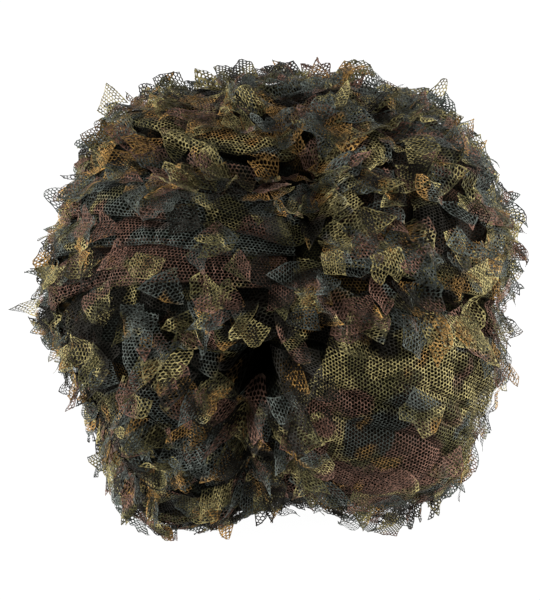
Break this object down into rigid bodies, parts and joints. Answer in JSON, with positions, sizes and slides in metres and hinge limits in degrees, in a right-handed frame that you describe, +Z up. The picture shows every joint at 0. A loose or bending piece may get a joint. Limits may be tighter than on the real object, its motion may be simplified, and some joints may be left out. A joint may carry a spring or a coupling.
{
  "type": "camouflage net",
  "caption": "Leaf-cut knitted camouflage net, gathered loosely into a round bundle with a small flat spot underneath.",
  "frame": {"origin": "middle of the bundle's plan, on the surface it rests on", "axes": "+Z up; -Y is the front, where the turns close in a pit; +X runs along the turns, to the right end seen from the front"},
  "size_m": [0.4226, 0.4198, 0.3764],
  "materials": {
    "printed_net": "open knitted polyester mesh with a woodland print in olive, slate, red-brown, ochre and near-black, matt"
  },
  "bodies": {
    "root": {"net_bundle": "printed_net"}
  },
  "joints": []
}
